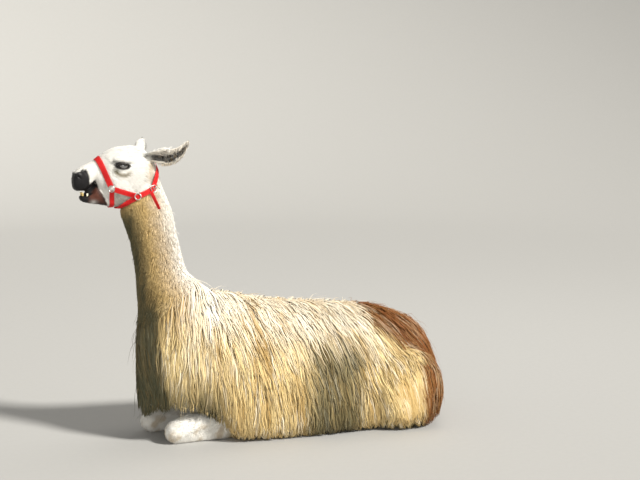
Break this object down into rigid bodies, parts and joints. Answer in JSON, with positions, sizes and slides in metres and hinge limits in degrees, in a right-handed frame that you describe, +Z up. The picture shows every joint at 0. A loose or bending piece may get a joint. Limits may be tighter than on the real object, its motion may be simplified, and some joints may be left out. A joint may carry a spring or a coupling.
{
  "type": "llama",
  "caption": "Adult llama lying with folded legs, long fleece, upright neck, slightly open mouth and a webbing head halter; still life-size model.",
  "frame": {"origin": "on the floor under the middle of the belly", "axes": "+X from head to tail, +Y to the animal's right, +Z up"},
  "size_m": [1.5852, 0.556, 1.2161],
  "materials": {
    "cream_fleece": "long silky fleece, cream streaked with fawn",
    "white_fur": "short dense white hair",
    "russet_fleece": "long red-brown fleece",
    "dark_lip_skin": "bare brown-black lip skin with sparse hair",
    "eyeball": "wet dark brown",
    "tooth_enamel": "stained enamel",
    "claw_horn": "dark horn",
    "red_webbing": "woven flat webbing",
    "halter_steel": "nickel-plated wire and buckle"
  },
  "bodies": {
    "root": {"trunk": "cream_fleece", "neck": "cream_fleece", "hind_leg_left": "cream_fleece", "hind_leg_right": "cream_fleece", "head": "white_fur", "ear_left": "white_fur", "ear_right": "white_fur", "foreleg_left": "white_fur", "foreleg_right": "white_fur", "jaw": "dark_lip_skin", "tail": "russet_fleece", "incisors": "tooth_enamel", "eye_left": "eyeball", "eye_right": "eyeball", "toenail_fore_left_inner": "claw_horn", "toenail_fore_left_outer": "claw_horn", "toenail_fore_right_inner": "claw_horn", "toenail_fore_right_outer": "claw_horn", "toenail_hind_left_inner": "claw_horn", "toenail_hind_left_outer": "claw_horn", "toenail_hind_right_inner": "claw_horn", "toenail_hind_right_outer": "claw_horn", "noseband": "red_webbing", "chin_strap": "red_webbing", "throat_strap": "red_webbing", "crown_strap": "red_webbing", "cheek_strap_left": "red_webbing", "cheek_strap_right": "red_webbing", "loose_end": "red_webbing", "front_ring_left": "halter_steel", "front_ring_right": "halter_steel", "rear_ring_left": "halter_steel", "rear_ring_right": "halter_steel", "buckle": "halter_steel"}
  },
  "joints": []
}
